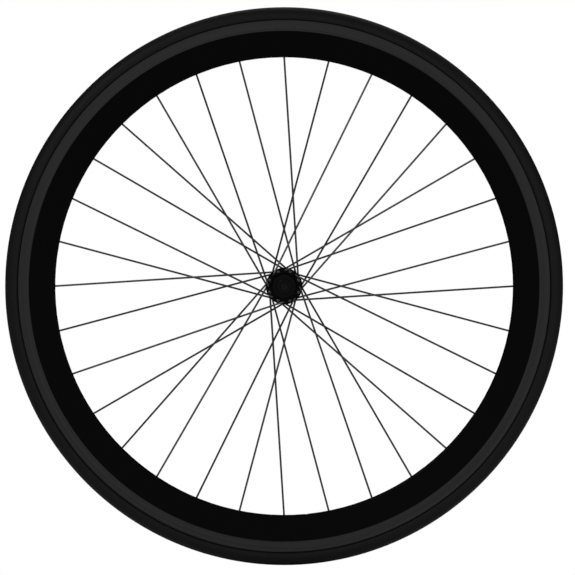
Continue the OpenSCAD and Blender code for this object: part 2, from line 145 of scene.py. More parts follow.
# %% [markdown]
# ## Where on the wheel: radius and distance across
# Nearly every surface of a wheel was turned, rolled or moulded round the axle. Its marks run in circles,
# and its changes of finish do too. One small group turns a place on the object into its distance from the
# axle and its distance from the wheel's middle plane, and every turned finish reads these two numbers.

# %% Group: wheel coordinates
wheel_place, group_in, group_out = new_group(
    "Wheel place", [], [("Radius", FLOAT), ("Across", FLOAT), ("Around", FLOAT)]
)
coords = add_node(wheel_place, "ShaderNodeTexCoord")
split = add_node(wheel_place, "ShaderNodeSeparateXYZ")
join(wheel_place, coords.outputs["Object"], split.inputs[0])
x_squared = math_node(wheel_place, "POWER", split.outputs["X"], 2.0)
z_squared = math_node(wheel_place, "POWER", split.outputs["Z"], 2.0)
radius = math_node(wheel_place, "SQRT", math_node(wheel_place, "ADD", x_squared, z_squared))
join(wheel_place, radius, group_out.inputs["Radius"])
join(wheel_place, split.outputs["Y"], group_out.inputs["Across"])
around = math_node(wheel_place, "ARCTAN2", split.outputs["X"], split.outputs["Z"])
join(wheel_place, around, group_out.inputs["Around"])
print("group made:", wheel_place.name)

# %% [markdown]
# ## Turning marks
# A lathe leaves fine circles that catch the light as a soft streak. They could be drawn with a Wave
# texture, but its lines are all alike. Noise that is read along the radius and across the wheel, and hardly
# at all around it, gives lines of uneven depth that stay true circles.

# %% Group: turning marks
DRIFT_AROUND = 0.6
turning_marks, group_in, group_out = new_group(
    "Turning marks",
    [("Pitch", FLOAT, 0.00025), ("Depth", FLOAT, 0.00001)],
    [("Normal", VECTOR), ("Lines", FLOAT)],
)
place = add_node(turning_marks, "ShaderNodeGroup", node_tree=wheel_place)
per_metre = math_node(turning_marks, "DIVIDE", 1.0, group_in.outputs["Pitch"])
ring_place = add_node(turning_marks, "ShaderNodeCombineXYZ")
scales = {"Radius": per_metre, "Across": per_metre, "Around": DRIFT_AROUND}
for (label, factor), axis in zip(scales.items(), "XYZ"):
    scaled = math_node(turning_marks, "MULTIPLY", place.outputs[label], factor)
    join(turning_marks, scaled, ring_place.inputs[axis])
lines = add_node(turning_marks, "ShaderNodeTexNoise", Scale=1.0, Detail=2.0, Roughness=0.6)
join(turning_marks, ring_place.outputs[0], lines.inputs["Vector"])
bump = add_node(turning_marks, "ShaderNodeBump", Strength=1.0)
join(turning_marks, group_in.outputs["Depth"], bump.inputs["Distance"])
join(turning_marks, lines.outputs["Fac"], bump.inputs["Height"])
join(turning_marks, bump.outputs[0], group_out.inputs["Normal"])
join(turning_marks, lines.outputs["Fac"], group_out.inputs["Lines"])
print("group made:", turning_marks.name)

# %% [markdown]
# ## Surface grain
# No real surface has one roughness all over. Paint has orange peel, rubber has a skin, and steel has
# handling marks. Two noises do this: a fine one for the bump, and a broad one that shifts the roughness a
# little, so that a highlight breaks up as it slides along a piece.

# %% Group: surface grain
PATCHES_PER_METRE = 38.0
surface_grain, group_in, group_out = new_group(
    "Surface grain",
    [
        ("Grain size", FLOAT, 0.0004),
        ("Depth", FLOAT, 0.00002),
        ("Roughness", FLOAT, 0.5),
        ("Spread", FLOAT, 0.1),
    ],
    [("Normal", VECTOR), ("Roughness", FLOAT), ("Cloud", FLOAT)],
)
coords = add_node(surface_grain, "ShaderNodeTexCoord")
fine = add_node(surface_grain, "ShaderNodeTexNoise", Detail=3.0, Roughness=0.55)
join(surface_grain, coords.outputs["Object"], fine.inputs["Vector"])
per_grain = math_node(surface_grain, "DIVIDE", 1.0, group_in.outputs["Grain size"])
join(surface_grain, per_grain, fine.inputs["Scale"])
bump = add_node(surface_grain, "ShaderNodeBump", Strength=1.0)
join(surface_grain, group_in.outputs["Depth"], bump.inputs["Distance"])
join(surface_grain, fine.outputs["Fac"], bump.inputs["Height"])
join(surface_grain, bump.outputs[0], group_out.inputs["Normal"])
broad = add_node(surface_grain, "ShaderNodeTexNoise", Scale=PATCHES_PER_METRE, Detail=5.0, Roughness=0.6)
join(surface_grain, coords.outputs["Object"], broad.inputs["Vector"])
centred = math_node(surface_grain, "SUBTRACT", broad.outputs["Fac"], 0.5)
swing = math_node(surface_grain, "MULTIPLY", centred, 2.0)
shift = math_node(surface_grain, "MULTIPLY", swing, group_in.outputs["Spread"])
shifted = math_node(surface_grain, "ADD", group_in.outputs["Roughness"], shift, clamp=True)
join(surface_grain, shifted, group_out.inputs["Roughness"])
join(surface_grain, broad.outputs["Fac"], group_out.inputs["Cloud"])
print("group made:", surface_grain.name)

# %% [markdown]
# ## Edge wear
# Anodising and plating are thinnest on a sharp edge, and hands and tools rub there first. The Bevel node
# finds edges without any painting: it gives the normal that the surface would have if its edges were
# rounded, and where that differs from the true normal, there is an edge.

# %% Group: edge wear
EDGE_GAIN = 5.0
RUB_GAIN = 1.6
RUBS_PER_METRE = 400.0
edge_wear, group_in, group_out = new_group(
    "Edge wear", [("Width", FLOAT, 0.0003), ("Amount", FLOAT, 0.5)], [("Mask", FLOAT)]
)
rounded = add_node(edge_wear, "ShaderNodeBevel", samples=4)
join(edge_wear, group_in.outputs["Width"], rounded.inputs["Radius"])
true_shape = add_node(edge_wear, "ShaderNodeNewGeometry")
likeness = add_node(edge_wear, "ShaderNodeVectorMath", operation="DOT_PRODUCT")
join(edge_wear, rounded.outputs[0], likeness.inputs[0])
join(edge_wear, true_shape.outputs["Normal"], likeness.inputs[1])
unlike = math_node(edge_wear, "SUBTRACT", 1.0, likeness.outputs["Value"])
edge = math_node(edge_wear, "MULTIPLY", unlike, EDGE_GAIN, clamp=True)
coords = add_node(edge_wear, "ShaderNodeTexCoord")
patchy = add_node(edge_wear, "ShaderNodeTexNoise", Scale=RUBS_PER_METRE, Detail=3.0)
join(edge_wear, coords.outputs["Object"], patchy.inputs["Vector"])
rubbed = math_node(edge_wear, "MULTIPLY", patchy.outputs["Fac"], RUB_GAIN)
broken = math_node(edge_wear, "MULTIPLY", edge, rubbed, clamp=True)
worn = math_node(edge_wear, "MULTIPLY", broken, group_in.outputs["Amount"])
join(edge_wear, worn, group_out.inputs["Mask"])
print("group made:", edge_wear.name)

# %% [markdown]
# ## Starting a material
# Every finish starts from a Principled BSDF with plain values for what is the same all over: how metallic
# it is and how strongly it mirrors. What changes over the surface is wired in afterwards. A helper mixes
# two colours by a mask, because that is how each change of finish is drawn.

# %% Material helpers
def new_material(name, metallic=0.0, specular=0.5, coat=0.0, coat_roughness=0.1):
    material = bpy.data.materials.new(name)
    material.use_nodes = True
    tree = material.node_tree
    shader = tree.nodes["Principled BSDF"]
    shader.inputs["Metallic"].default_value = metallic
    shader.inputs["Specular IOR Level"].default_value = specular
    shader.inputs["Coat Weight"].default_value = coat
    shader.inputs["Coat Roughness"].default_value = coat_roughness
    return material, tree, shader


def grey(level, warmth=0.0):
    return (level * (1 + warmth), level, level * (1 - warmth), 1.0)


def mix_colour(tree, mask, low, high):
    node = tree.nodes.new("ShaderNodeMix")
    node.data_type = "RGBA"
    join(tree, mask, node.inputs["Factor"])
    for socket, value in ((node.inputs["A"], low), (node.inputs["B"], high)):
        if isinstance(value, bpy.types.NodeSocket):
            join(tree, value, socket)
        else:
            socket.default_value = value
    return node.outputs["Result"]


def mix_value(tree, mask, low, high):
    """low where the mask is 0, high where it is 1."""
    spread = math_node(tree, "SUBTRACT", high, low)
    return math_node(tree, "ADD", math_node(tree, "MULTIPLY", mask, spread), low)


def mix_normal(tree, mask, low, high):
    node = tree.nodes.new("ShaderNodeMix")
    node.data_type = "VECTOR"
    join(tree, mask, node.inputs["Factor"])
    vectors = [socket for socket in node.inputs if socket.name in "AB" and socket.type == "VECTOR"]
    join(tree, low, vectors[0])
    join(tree, high, vectors[1])
    return [socket for socket in node.outputs if socket.type == "VECTOR"][0]


def place_group(tree, group, **values):
    node = tree.nodes.new("ShaderNodeGroup")
    node.node_tree = group
    for name, value in values.items():
        node.inputs[name.replace("_", " ")].default_value = value
    return node


print("material helpers ready")

# %% [markdown]
# ## Black that is really black
# This rim and hub are a deep, even black, with only a thin sheen. Two numbers make that: a base colour of a
# twentieth of a per cent, and a low specular level, because in a bright room a normal gloss of four per
# cent would lift the black to grey. The brake track is the one ring that pads have to grip, so it is turned
# bare of lacquer and shows as a dark grey band. The mask for it comes from the radius and from how far out
# the wall stands.

# %% Material: rim
SCORE_FROM = 0.38
SCORE_GAIN = 4.2


def rim_finish():
    material, tree, shader = new_material("rim_black_lacquer", specular=0.03)
    place = place_group(tree, wheel_place)
    out_from_middle = math_node(tree, "ABSOLUTE", place.outputs["Across"])
    on_wall = math_node(tree, "GREATER_THAN", out_from_middle, rim_half_w - 0.3 * MM)
    ring = between(tree, place.outputs["Radius"], track_r, rim_edge_r, 0.4 * MM)
    track = math_node(tree, "MULTIPLY", ring, on_wall)
    grain = place_group(
        tree, surface_grain, Grain_size=0.9 * MM, Depth=0.012 * MM, Roughness=0.34, Spread=0.09
    )
    marks = place_group(tree, turning_marks, Pitch=0.42 * MM, Depth=0.014 * MM)
    wear = place_group(tree, edge_wear, Width=0.25 * MM, Amount=0.35)
    lacquer = mix_colour(tree, wear.outputs["Mask"], grey(0.0005), grey(0.003))
    deepest = math_node(tree, "SUBTRACT", marks.outputs["Lines"], SCORE_FROM)
    scores = math_node(tree, "MULTIPLY", deepest, SCORE_GAIN, clamp=True)
    bare = mix_colour(tree, scores, grey(0.0135), grey(0.0235))
    join(tree, mix_colour(tree, track, lacquer, bare), shader.inputs["Base Color"])
    track_rough = mix_value(tree, scores, 0.34, 0.56)
    off_track = math_node(tree, "SUBTRACT", 1.0, track)
    body_rough = math_node(tree, "MULTIPLY", off_track, grain.outputs["Roughness"])
    rough = math_node(tree, "ADD", body_rough, math_node(tree, "MULTIPLY", track, track_rough))
    join(tree, rough, shader.inputs["Roughness"])
    normal = mix_normal(tree, track, grain.outputs["Normal"], marks.outputs["Normal"])
    join(tree, normal, shader.inputs["Normal"])
    return material


rim_black = rim_finish()
print("made", rim_black.name, "with its brake track from", round(track_r / MM, 1), "mm")

# %% [markdown]
# ## Anodised and blackened metal
# The hub shell is anodised: a very fine, dense grain on a turned surface. The nuts and washers are steel
# with a black oxide skin, a little rougher, and spanners rub their corners lighter. Both are the same
# recipe with other numbers, so one function makes them.

# %% Materials: black metals
def black_metal(name, base, worn, rough, pitch, specular, wear_amount):
    material, tree, shader = new_material(name, specular=specular)
    grain = place_group(
        tree, surface_grain, Grain_size=0.25 * MM, Depth=0.006 * MM, Roughness=rough, Spread=0.12
    )
    marks = place_group(tree, turning_marks, Pitch=pitch, Depth=0.006 * MM)
    wear = place_group(tree, edge_wear, Width=0.3 * MM, Amount=wear_amount)
    skin = mix_colour(tree, grain.outputs["Cloud"], grey(base * 0.7), grey(base * 1.3))
    join(tree, mix_colour(tree, wear.outputs["Mask"], skin, grey(worn, 0.02)), shader.inputs["Base Color"])
    join(tree, wear.outputs["Mask"], shader.inputs["Metallic"])
    join(tree, grain.outputs["Roughness"], shader.inputs["Roughness"])
    normal = mix_normal(tree, marks.outputs["Lines"], grain.outputs["Normal"], marks.outputs["Normal"])
    join(tree, normal, shader.inputs["Normal"])
    return material


hub_black = black_metal(
    "hub_black_anodised", base=0.0006, worn=0.02, rough=0.33, pitch=0.3 * MM, specular=0.04, wear_amount=0.15
)
oxide_black = black_metal(
    "black_oxide_steel", base=0.001, worn=0.06, rough=0.42, pitch=0.4 * MM, specular=0.06, wear_amount=0.2
)
axle_black = black_metal(
    "axle_oiled_steel", base=0.0015, worn=0.06, rough=0.3, pitch=0.5 * MM, specular=0.08, wear_amount=0.2
)
dust_cap_black = black_metal(
    "dust_cap_pressed", base=0.0012, worn=0.06, rough=0.3, pitch=0.5 * MM, specular=0.06, wear_amount=0.2
)
print("made", [m.name for m in (hub_black, oxide_black, axle_black, dust_cap_black)])

# %% [markdown]
# ## Bright metals
# Bearing steel is ground and nearly a mirror, zinc plate is softer and cloudy, and brass and spring steel
# have a colour of their own. Each one is metallic all over, so its base colour is the colour of its
# reflections.

# %% Materials: bright metals
def bright_metal(name, colour, darker, rough, spread, grain_size, depth):
    material, tree, shader = new_material(name, metallic=1.0)
    grain = place_group(
        tree, surface_grain, Grain_size=grain_size, Depth=depth, Roughness=rough, Spread=spread
    )
    join(tree, mix_colour(tree, grain.outputs["Cloud"], darker, colour), shader.inputs["Base Color"])
    join(tree, grain.outputs["Roughness"], shader.inputs["Roughness"])
    join(tree, grain.outputs["Normal"], shader.inputs["Normal"])
    return material


bearing_steel = bright_metal(
    "ground_bearing_steel", grey(0.62), grey(0.5),
    rough=0.14, spread=0.06, grain_size=0.3 * MM, depth=0.002 * MM
)
zinc = bright_metal(
    "zinc_plate", grey(0.55), grey(0.4), rough=0.34, spread=0.15, grain_size=0.5 * MM, depth=0.008 * MM
)
brass = bright_metal(
    "plain_brass", (0.72, 0.52, 0.2, 1), (0.5, 0.34, 0.12, 1),
    rough=0.3, spread=0.12, grain_size=0.4 * MM, depth=0.006 * MM
)
spring_steel = bright_metal(
    "spring_steel", (0.55, 0.48, 0.36, 1), (0.4, 0.34, 0.24, 1),
    rough=0.26, spread=0.1, grain_size=0.4 * MM, depth=0.005 * MM
)
print("made", [m.name for m in (bearing_steel, zinc, brass, spring_steel)])

# %% [markdown]
# ## Drawn wire
# Spoke wire is pulled through a die, which leaves long, faint lines along it and none across it, and a
# glossy black coat lies over them. The coat is no metal: it mirrors about a twentieth of the light, which
# shows as one soft line along the middle of each spoke. A pattern that runs along a bent wire can't come
# from its place in space. So each spoke carries an attribute of its own, made with its shape further down:
# how far along the wire a point is, and on which side of it. The noise reads that attribute, stretched some
# eighty times along the wire.

# %% Material: spoke wire
def wire_finish():
    material, tree, shader = new_material("drawn_wire_blackened", specular=0.5)
    wire = add_node(tree, "ShaderNodeAttribute", attribute_name="wire")
    stretch = add_node(tree, "ShaderNodeMapping", Scale=(6.0, 6.0, 60.0))
    join(tree, wire.outputs["Vector"], stretch.inputs["Vector"])
    lines = add_node(tree, "ShaderNodeTexNoise", Scale=1.0, Detail=3.0, Roughness=0.6)
    join(tree, stretch.outputs[0], lines.inputs["Vector"])
    bump = add_node(tree, "ShaderNodeBump", Strength=1.0, Distance=0.004 * MM)
    join(tree, lines.outputs["Fac"], bump.inputs["Height"])
    grain = place_group(tree, surface_grain, Grain_size=0.6 * MM, Depth=0.0, Roughness=0.24, Spread=0.08)
    join(tree, mix_colour(tree, lines.outputs["Fac"], grey(0.0025), grey(0.006)), shader.inputs["Base Color"])
    join(tree, grain.outputs["Roughness"], shader.inputs["Roughness"])
    join(tree, bump.outputs[0], shader.inputs["Normal"])
    return material


wire_steel = wire_finish()
print("made", wire_steel.name)

# %% [markdown]
# ## Tyre rubber
# A tyre has three skins. The crown that rolls is smooth but dull. The shoulders have a fine file tread,
# small diamonds that the mould cuts. The sidewall is thin, and the threads of the casing show through as a
# faint diagonal weave. All three are the same black rubber, so only the bump and the roughness change, by a
# mask that comes from the angle round the tyre's section.

# %% Material: tyre
TREAD_EDGE = math.radians(56)
FILE_START = math.radians(17)
FILE_PITCH = 1.5 * MM
THREAD_SPACING = 0.7 * MM


def tyre_finish():
    material, tree, shader = new_material("tyre_rubber_moulded", specular=0.08)
    place = place_group(tree, wheel_place)
    tyre_mid_r = tyre_r - tyre_half_w
    above = math_node(tree, "SUBTRACT", place.outputs["Radius"], tyre_mid_r)
    turn = math_node(tree, "ARCTAN2", place.outputs["Across"], above)
    off_crown = math_node(tree, "ABSOLUTE", turn)
    file_zone = between(tree, off_crown, FILE_START, TREAD_EDGE - 0.03, 0.06)
    wall_zone = between(tree, off_crown, TREAD_EDGE + 0.05, math.pi, 0.1)
    along = math_node(tree, "MULTIPLY", place.outputs["Around"], tyre_r)
    across = math_node(tree, "MULTIPLY", turn, tyre_half_w)
    waves = []
    for sign in (1.0, -1.0):
        slanted = math_node(tree, "ADD", along, math_node(tree, "MULTIPLY", across, sign))
        waves.append(math_node(tree, "SINE", math_node(tree, "MULTIPLY", slanted, math.tau / FILE_PITCH)))
    diamonds = math_node(tree, "MAXIMUM", waves[0], waves[1])
    diamonds = math_node(tree, "MULTIPLY", math_node(tree, "MULTIPLY", diamonds, 0.5), file_zone)
    bias = math_node(tree, "ADD", along, across)
    threads = math_node(tree, "SINE", math_node(tree, "MULTIPLY", bias, math.tau / THREAD_SPACING))
    threads = math_node(tree, "MULTIPLY", math_node(tree, "MULTIPLY", threads, 0.07), wall_zone)
    relief = add_node(tree, "ShaderNodeBump", Strength=1.0, Distance=0.16 * MM)
    join(tree, math_node(tree, "ADD", diamonds, threads), relief.inputs["Height"])
    grain = place_group(tree, surface_grain, Grain_size=0.5 * MM, Depth=0.02 * MM, Roughness=0.66, Spread=0.1)
    skin = add_node(tree, "ShaderNodeTexNoise", Scale=1600.0, Detail=3.0)
    coords = add_node(tree, "ShaderNodeTexCoord")
    join(tree, coords.outputs["Object"], skin.inputs["Vector"])
    pores = add_node(tree, "ShaderNodeBump", Strength=1.0, Distance=0.02 * MM)
    join(tree, skin.outputs["Fac"], pores.inputs["Height"])
    join(tree, relief.outputs[0], pores.inputs["Normal"])
    join(tree, pores.outputs[0], shader.inputs["Normal"])
    smoother = math_node(tree, "MULTIPLY", wall_zone, 0.12)
    join(tree, math_node(tree, "SUBTRACT", grain.outputs["Roughness"], smoother), shader.inputs["Roughness"])
    rubber = mix_colour(tree, grain.outputs["Cloud"], grey(0.0034), grey(0.0050))
    join(tree, rubber, shader.inputs["Base Color"])
    return material


tyre_black = tyre_finish()
print("made", tyre_black.name, "with a file tread of", FILE_PITCH / MM, "mm")

# %% [markdown]
# ## Tube and tape
# Neither shows from outside, but both are there when the tyre comes off. The tube is dull rubber with a
# dusting of talc in broad patches. The tape is woven, so its bump is a product of two fine waves, over and
# under.

# %% Materials: tube and tape
def tube_finish():
    material, tree, shader = new_material("tube_rubber_dusted", specular=0.3)
    grain = place_group(
        tree, surface_grain, Grain_size=0.7 * MM, Depth=0.02 * MM, Roughness=0.75, Spread=0.15
    )
    join(tree, mix_colour(tree, grain.outputs["Cloud"], grey(0.012), grey(0.08)), shader.inputs["Base Color"])
    join(tree, grain.outputs["Roughness"], shader.inputs["Roughness"])
    join(tree, grain.outputs["Normal"], shader.inputs["Normal"])
    return material


def tape_finish():
    material, tree, shader = new_material("rim_tape_woven", specular=0.3)
    place = place_group(tree, wheel_place)
    thread = math.tau / (0.8 * MM)
    along = math_node(tree, "MULTIPLY", place.outputs["Around"], rim_edge_r)
    over = math_node(tree, "SINE", math_node(tree, "MULTIPLY", along, thread))
    under = math_node(tree, "SINE", math_node(tree, "MULTIPLY", place.outputs["Across"], thread))
    weave = math_node(tree, "MULTIPLY", over, under)
    bump = add_node(tree, "ShaderNodeBump", Strength=1.0, Distance=0.06 * MM)
    join(tree, weave, bump.inputs["Height"])
    # The cloth's colour follows the weave's height: lighter on the tops and darker in the dips, which is
    # painted shade. The roughness follows the same mask.
    shade = math_node(tree, "ADD", math_node(tree, "MULTIPLY", weave, 0.5), 0.5)
    cloth = mix_colour(tree, shade, (0.03, 0.06, 0.16, 1), (0.07, 0.12, 0.27, 1))
    join(tree, cloth, shader.inputs["Base Color"])
    join(tree, bump.outputs[0], shader.inputs["Normal"])
    join(tree, mix_value(tree, shade, 0.6, 0.8), shader.inputs["Roughness"])
    return material


tube_black = tube_finish()
tape_blue = tape_finish()
print("made", tube_black.name, "and", tape_blue.name)

# %% [markdown]
# ## Dressing the construction's pieces
# Pieces whose shape is already right keep it, and only take a finish. A dictionary from the first words of
# a piece's name to its material says it all, and the loop stops with an error if a piece was forgotten.

# %% Assign the finishes
FINISHES = {
    "rim": rim_black, "rim_tape": tape_blue, "tyre": tyre_black, "inner_tube": tube_black,
    "valve": brass, "spoke_nipples": brass, "spoke": wire_steel,
    "hub_shell": hub_black, "dust_cap": dust_cap_black,
    "bearing": bearing_steel, "ball_cage": spring_steel, "cone": bearing_steel,
    "axle": axle_black, "axle_nut": oxide_black, "locknut": oxide_black,
    "fork_washer": oxide_black, "spacer_washer": zinc,
}
longest_first = sorted(FINISHES, key=len, reverse=True)
for name, node in cad_nodes.items():
    start = next(words for words in longest_first if name.startswith(words))
    node.data.materials.clear()
    node.data.materials.append(FINISHES[start])
print(len(cad_nodes), "pieces dressed in", len(set(FINISHES.values())), "finishes")

# %% [markdown]
# ## Helpers for modelling
# In edit mode an operator acts on everything that is selected, and a freshly loaded frame is selected all
# over. So each piece starts from a clean slate: nothing selected, then one primitive at its own size and
# place. The other helpers select by place, and close a piece by merging its doubles and turning its normals
# outwards.

# %% Modelling helpers
def start_piece(add_primitive, name, **settings):
    bpy.ops.object.select_all(action="DESELECT")
    add_primitive(**settings)
    piece = bpy.context.view_layer.objects.active
    piece.name = name
    piece.data.name = name
    bpy.ops.object.transform_apply(location=True, rotation=True, scale=True)
    bpy.ops.object.mode_set(mode="EDIT")
    return piece


def select_vertices(piece, wanted):
    """Selects the vertices for which wanted(place) is true, and leaves the piece in edit mode."""
    bpy.ops.object.mode_set(mode="EDIT")
    bpy.ops.mesh.select_all(action="DESELECT")
    bpy.ops.mesh.select_mode(type="VERT")
    bpy.ops.object.mode_set(mode="OBJECT")
    for vertex in piece.data.vertices:
        vertex.select = bool(wanted(vertex.co))
    bpy.ops.object.mode_set(mode="EDIT")


def extrude(step):
    bpy.ops.mesh.extrude_region_move(TRANSFORM_OT_translate={"value": tuple(step)})


def resize(factor, centre):
    bpy.ops.transform.resize(value=(factor, factor, factor), center_override=tuple(centre))


def close_piece(piece, smooth_angle=math.radians(32)):
    bpy.ops.object.mode_set(mode="EDIT")
    bpy.ops.mesh.select_all(action="SELECT")
    bpy.ops.mesh.remove_doubles(threshold=0.002 * MM)
    bpy.ops.mesh.normals_make_consistent(inside=False)
    bpy.ops.object.mode_set(mode="OBJECT")
    bpy.ops.object.shade_smooth_by_angle(angle=smooth_angle)
    print(piece.name, "has", len(piece.data.vertices), "vertices and", len(piece.data.polygons), "faces")


def box_error(piece, node_name):
    """How far the corners of a piece's box lie from those of the node that it stands for, in mm."""
    places = [v.co for v in piece.data.vertices]
    corners = [Vector(extreme(p[axis] for p in places) for axis in range(3)) for extreme in (min, max)]
    return [round((a - b).length / MM, 3) for a, b in zip(corners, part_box(node_name))]


def wear_finish(piece, material, body, slot, *nodes):
    piece.data.materials.clear()
    piece.data.materials.append(material)
    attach(piece, body)
    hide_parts(*nodes)


print("modelling helpers ready")

# %% [markdown]
# ## The line of a spoke
# A spoke leaves its flange through an elbow, runs past three others, is pressed against the last of them,
# and bends there by a degree or so on its way to the rim. Every spoke lies in one plane that also holds the
# direction of the axle, so its line can be worked out flat: x runs from the hub hole to the rim hole, and z
# goes outwards across the wheel. There are only two shapes: half of the spokes have their elbow outside the
# flange, half inside.

# %% Sizes of a spoke
WIRE_R = 1.17 * MM
HEAD_R = 2.1 * MM
ELBOW_R = 2.6 * MM
NECK_L = 3.15 * MM
END_L = 10 * MM
FLANGE_Z = 35 * MM
FLANGE_T = 3 * MM
LACING = math.radians(67.5)
LAST_CROSS = math.radians(56.25)
LAST_CROSS_GAP = 0.2 * MM
SPOKES = 32
RIM_DEPTH = 44.7 * MM
NOSE_T = 1.5 * MM
HOLE_TO_EDGE = 3.5 * MM
SEAT_GAP = 0.1 * MM
hub_hole_r = flange_r - HOLE_TO_EDGE
rim_hole_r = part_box("rim")[1].x - RIM_DEPTH + NOSE_T
spoke_run = math.sqrt(hub_hole_r**2 + rim_hole_r**2 - 2 * hub_hole_r * rim_hole_r * math.cos(LACING))
spoke_offset = hub_hole_r * rim_hole_r * math.sin(LACING) / spoke_run
foot_angle = math.acos(spoke_offset / hub_hole_r)
weave_run = spoke_offset * (math.tan(foot_angle + LAST_CROSS) - math.tan(foot_angle))
weave_z = FLANGE_Z * (1 - weave_run / spoke_run)
print(f"a spoke runs {spoke_run / MM:.2f} mm and meets its neighbour {weave_run / MM:.1f} mm from the hub")


def spoke_line(out):
    """Places along a spoke: the elbow's height, the weave point, the end, and the slopes at both ends."""
    elbow_z = FLANGE_Z + out * (FLANGE_T / 2 + SEAT_GAP)
    weave = Vector((weave_run, 0, weave_z - out * (WIRE_R + LAST_CROSS_GAP / 2)))
    reach = weave - Vector((ELBOW_R, 0, elbow_z))
    hub_slope = math.atan2(reach.z, reach.x) - out * math.asin(ELBOW_R / reach.length)
    rim_slope = math.atan2(-weave.z, spoke_run - weave_run)
    end = Vector((spoke_run, 0, 0)) + END_L * Vector((math.cos(rim_slope), 0, math.sin(rim_slope)))
    return elbow_z, weave, end, hub_slope


# %% [markdown]
# ## Drawing one spoke
# The spoke is made in the order that its wire is formed. A small disc is the top of the head. It is
# extruded and widened over the head's rim, drawn in to the wire's size, and extruded through the flange.
# The elbow is a spin round a point beside the wire, because a spin keeps every ring square to the bend. Two
# long extrusions then take the wire to the crossing and on to the rim.

# %% Model a spoke
WIRE_SIDES = 20
ELBOW_STEPS = 10
HEAD_L = 1.6 * MM
HEAD_STEPS = (
    (1.35 * MM, 0.8 * HEAD_R),
    (1.0 * MM, HEAD_R),
    (0.6 * MM, HEAD_R),
    (0.25 * MM, 0.86 * HEAD_R),
    (0.0, WIRE_R),
)


def model_spoke(name, out):
    elbow_z, weave, end, hub_slope = spoke_line(out)
    neck_foot = elbow_z - out * NECK_L
    back, radius = HEAD_L, 0.5 * HEAD_R
    top = neck_foot - out * back
    piece = start_piece(
        bpy.ops.mesh.primitive_circle_add, name, vertices=WIRE_SIDES, radius=radius, fill_type="NGON",
        location=(0, 0, top)
    )
    bpy.ops.mesh.select_all(action="SELECT")
    for next_back, next_radius in HEAD_STEPS:
        extrude((0, 0, out * (back - next_back)))
        resize(next_radius / radius, (0, 0, neck_foot - out * next_back))
        back, radius = next_back, next_radius
    extrude((0, 0, out * NECK_L))
    turn = hub_slope - out * math.radians(90)
    bpy.ops.mesh.spin(steps=ELBOW_STEPS, angle=turn, center=(ELBOW_R, 0, elbow_z), axis=(0, 1, 0))
    sideways = out * Vector((-math.sin(hub_slope), 0, math.cos(hub_slope)))
    after_elbow = Vector((ELBOW_R, 0, elbow_z)) + ELBOW_R * sideways
    bpy.ops.object.mode_set(mode="OBJECT")
    ring = [v.co for v in piece.data.vertices if v.select]
    found = sum(ring, Vector()) / len(ring)
    print(f"{name}: the elbow ends {(found - after_elbow).length / MM:.4f} mm from where it should")
    bpy.ops.object.mode_set(mode="EDIT")
    extrude(weave - after_elbow)
    extrude(end - weave)
    bpy.ops.object.mode_set(mode="OBJECT")
    return piece


spoke_models = {1: model_spoke("spoke_elbow_outside", 1), -1: model_spoke("spoke_elbow_inside", -1)}

# %% [markdown]
# ## A sense of direction along the wire
# The rings of a spoke were made one after the other, so its vertices are in that order, a ring at a time.
# That makes the attribute for the drawn lines simple: the length so far is the sum of the steps between
# ring centres, and the side is the angle round the ring, given as its sine and cosine so that it has no
# seam.

# %% Store the wire attribute
def store_wire_direction(piece):
    places = [v.co.copy() for v in piece.data.vertices]
    attribute = piece.data.attributes.new("wire", "FLOAT_VECTOR", "POINT")
    length, last_centre = 0.0, None
    for first in range(0, len(places), WIRE_SIDES):
        ring = places[first:first + WIRE_SIDES]
        centre = sum(ring, Vector()) / len(ring)
        if last_centre is not None:
            length += (centre - last_centre).length
        last_centre = centre
        for k in range(len(ring)):
            angle = math.tau * k / WIRE_SIDES
            attribute.data[first + k].vector = (math.cos(angle), math.sin(angle), length)
    return length


for spoke_model in spoke_models.values():
    bpy.context.view_layer.objects.active = spoke_model
    wire_length = store_wire_direction(spoke_model)
    bpy.ops.object.select_all(action="DESELECT")
    spoke_model.select_set(True)
    close_piece(spoke_model)
    print(f"{spoke_model.name} is {wire_length / MM:.1f} mm long from the top of its head")

# %% [markdown]
# ## Lacing the wheel
# The wheel is laced three-cross. Rim holes go round evenly, and each spoke's hub hole lies 67.5 degrees
# round from its rim hole, forwards for one spoke and backwards for the next. Each spoke is a copy with a
# mesh of its own, turned to its line and, on the left side, turned over about that line.

# %% Copy and place the spokes
def polar(radius, angle):
    return Vector((radius * math.cos(angle), 0, radius * math.sin(angle)))


def spoke_place(index, trailing):
    """The matrix that takes the flat drawing of a spoke to its place in the wheel."""
    rim_angle = math.radians(90 - index * 360 / SPOKES)
    hub = polar(hub_hole_r, rim_angle + (LACING if trailing else -LACING))
    run = (polar(rim_hole_r, rim_angle) - hub).normalized()
    side = -1 if index % 2 == 0 else 1
    outwards = Vector((0, side, 0))
    third = outwards.cross(run)
    columns = Matrix((run, third, outwards)).transposed()
    return Matrix.Translation(hub) @ columns.to_4x4()


for index in range(SPOKES):
    trailing = index % 4 in (1, 2)
    side_name = "right" if index % 2 == 0 else "left"
    node_name = f"spoke_{side_name}_{index // 2 + 1:02d}"
    spoke = spoke_models[1 if trailing else -1].copy()
    spoke.data = spoke.data.copy()
    spoke.name = f"wire_{side_name}_{index // 2 + 1:02d}"
    spoke.data.name = spoke.name
    bpy.context.scene.collection.objects.link(spoke)
    spoke.data.transform(spoke_place(index, trailing))
    wear_finish(spoke, wire_steel, "wheel", "spoke_steel", node_name)
    if index < 4:
        print(spoke.name, "stands for", node_name, "and its box is off by", box_error(spoke, node_name), "mm")
for spoke_model in spoke_models.values():
    bpy.data.objects.remove(spoke_model)

